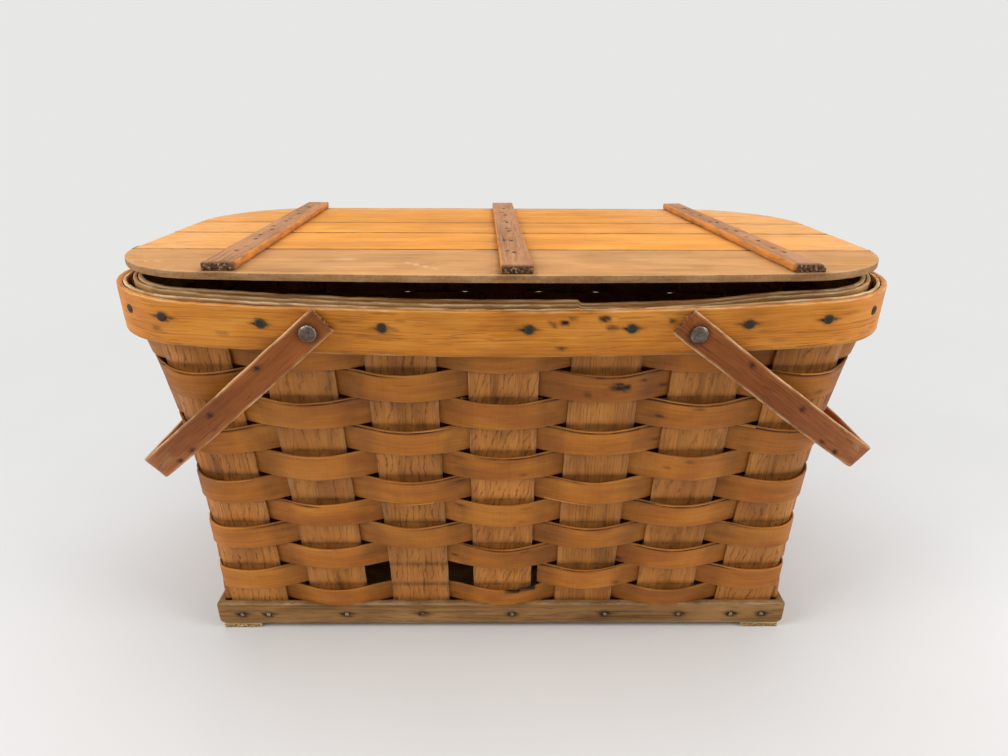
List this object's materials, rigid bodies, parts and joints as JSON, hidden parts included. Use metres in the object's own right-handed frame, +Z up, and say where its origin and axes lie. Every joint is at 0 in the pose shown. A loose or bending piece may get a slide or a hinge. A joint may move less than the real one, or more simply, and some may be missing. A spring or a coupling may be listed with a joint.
{
  "type": "picnic basket",
  "caption": "Antique woven splint picnic basket with a flat hinged plank lid on battens, bentwood rim hoops, a nailed wooden foot and two swinging bail handles.",
  "frame": {"origin": "on the ground, under the middle of the basket, at the underside of the runners", "axes": "+X along the basket to its right end, +Y from the front to the hinged back, +Z up"},
  "size_m": [0.5096, 0.2856, 0.3075],
  "materials": {
    "stake_wood": "aged ash splint, brown, with dark lengthwise grain, dry satin",
    "weaver_wood": "aged ash splint, orange brown, frayed edges, dry satin",
    "hoop_wood": "bent ash hoop, orange yellow with dark knots, worn satin",
    "base_wood": "grey brown weathered board, matte",
    "runner_wood": "pale bare wood, matte",
    "lid_wood": "orange tan plank, worn satin with fine scratches",
    "batten_wood": "brown batten, worn matte with dark end grain",
    "handle_wood": "bent ash strap, reddish brown, polished by hands, pale worn edges",
    "rivet_metal": "dark worn iron with bright rims",
    "hinge_metal": "dark aged iron strip",
    "nail_metal": "dark rusted iron nail heads"
  },
  "bodies": {
    "basket": {"base_board": "base_wood", "base_strip_front": "base_wood", "base_strip_back": "base_wood", "base_strip_left": "base_wood", "base_strip_right": "base_wood", "base_nails": "nail_metal", "runner_left": "runner_wood", "runner_right": "runner_wood", "stake_front_1": "stake_wood", "stake_front_2": "stake_wood", "stake_front_3": "stake_wood", "stake_front_4": "stake_wood", "stake_front_5": "stake_wood", "stake_front_6": "stake_wood", "stake_front_7": "stake_wood", "stake_right_1": "stake_wood", "stake_right_2": "stake_wood", "stake_right_3": "stake_wood", "stake_back_1": "stake_wood", "stake_back_2": "stake_wood", "stake_back_3": "stake_wood", "stake_back_4": "stake_wood", "stake_back_5": "stake_wood", "stake_back_6": "stake_wood", "stake_back_7": "stake_wood", "stake_left_1": "stake_wood", "stake_left_2": "stake_wood", "stake_left_3": "stake_wood", "weaver_1": "weaver_wood", "weaver_2": "weaver_wood", "weaver_3": "weaver_wood", "weaver_4": "weaver_wood", "weaver_5": "weaver_wood", "weaver_6": "weaver_wood", "weaver_7": "weaver_wood", "weaver_8": "weaver_wood", "weaver_9": "weaver_wood", "weaver_10": "weaver_wood", "weaver_11": "weaver_wood", "rim_weaver": "weaver_wood", "outer_hoop": "hoop_wood", "inner_hoop": "hoop_wood", "rim_nails": "nail_metal", "left_handle_rivets": "rivet_metal", "right_handle_rivets": "rivet_metal", "rim_hinge_leaves": "hinge_metal", "hinge_pins": "hinge_metal"},
    "lid": {"lid_plank_1": "lid_wood", "lid_plank_2": "lid_wood", "lid_plank_3": "lid_wood", "lid_plank_4": "lid_wood", "batten_left": "batten_wood", "batten_centre": "batten_wood", "batten_right": "batten_wood", "batten_nails": "nail_metal", "lid_hinge_leaves": "hinge_metal"},
    "left_handle": {"left_handle": "handle_wood"},
    "right_handle": {"right_handle": "handle_wood"}
  },
  "joints": [
    {"name": "lid_hinge", "type": "hinge", "parent": "basket", "child": "lid", "pos_m": [0, 0.13901, 0.2901], "axis": [-1, 0, 0], "range_deg": [-1.2, 203.8]},
    {"name": "left_handle_pivot", "type": "hinge", "parent": "basket", "child": "left_handle", "pos_m": [-0.1165, 0, 0.26868], "axis": [0, 1, 0], "range_deg": [0, 171.5]},
    {"name": "right_handle_pivot", "type": "hinge", "parent": "basket", "child": "right_handle", "pos_m": [0.1165, 0, 0.26868], "axis": [0, -1, 0], "range_deg": [0, 167.5]}
  ]
}
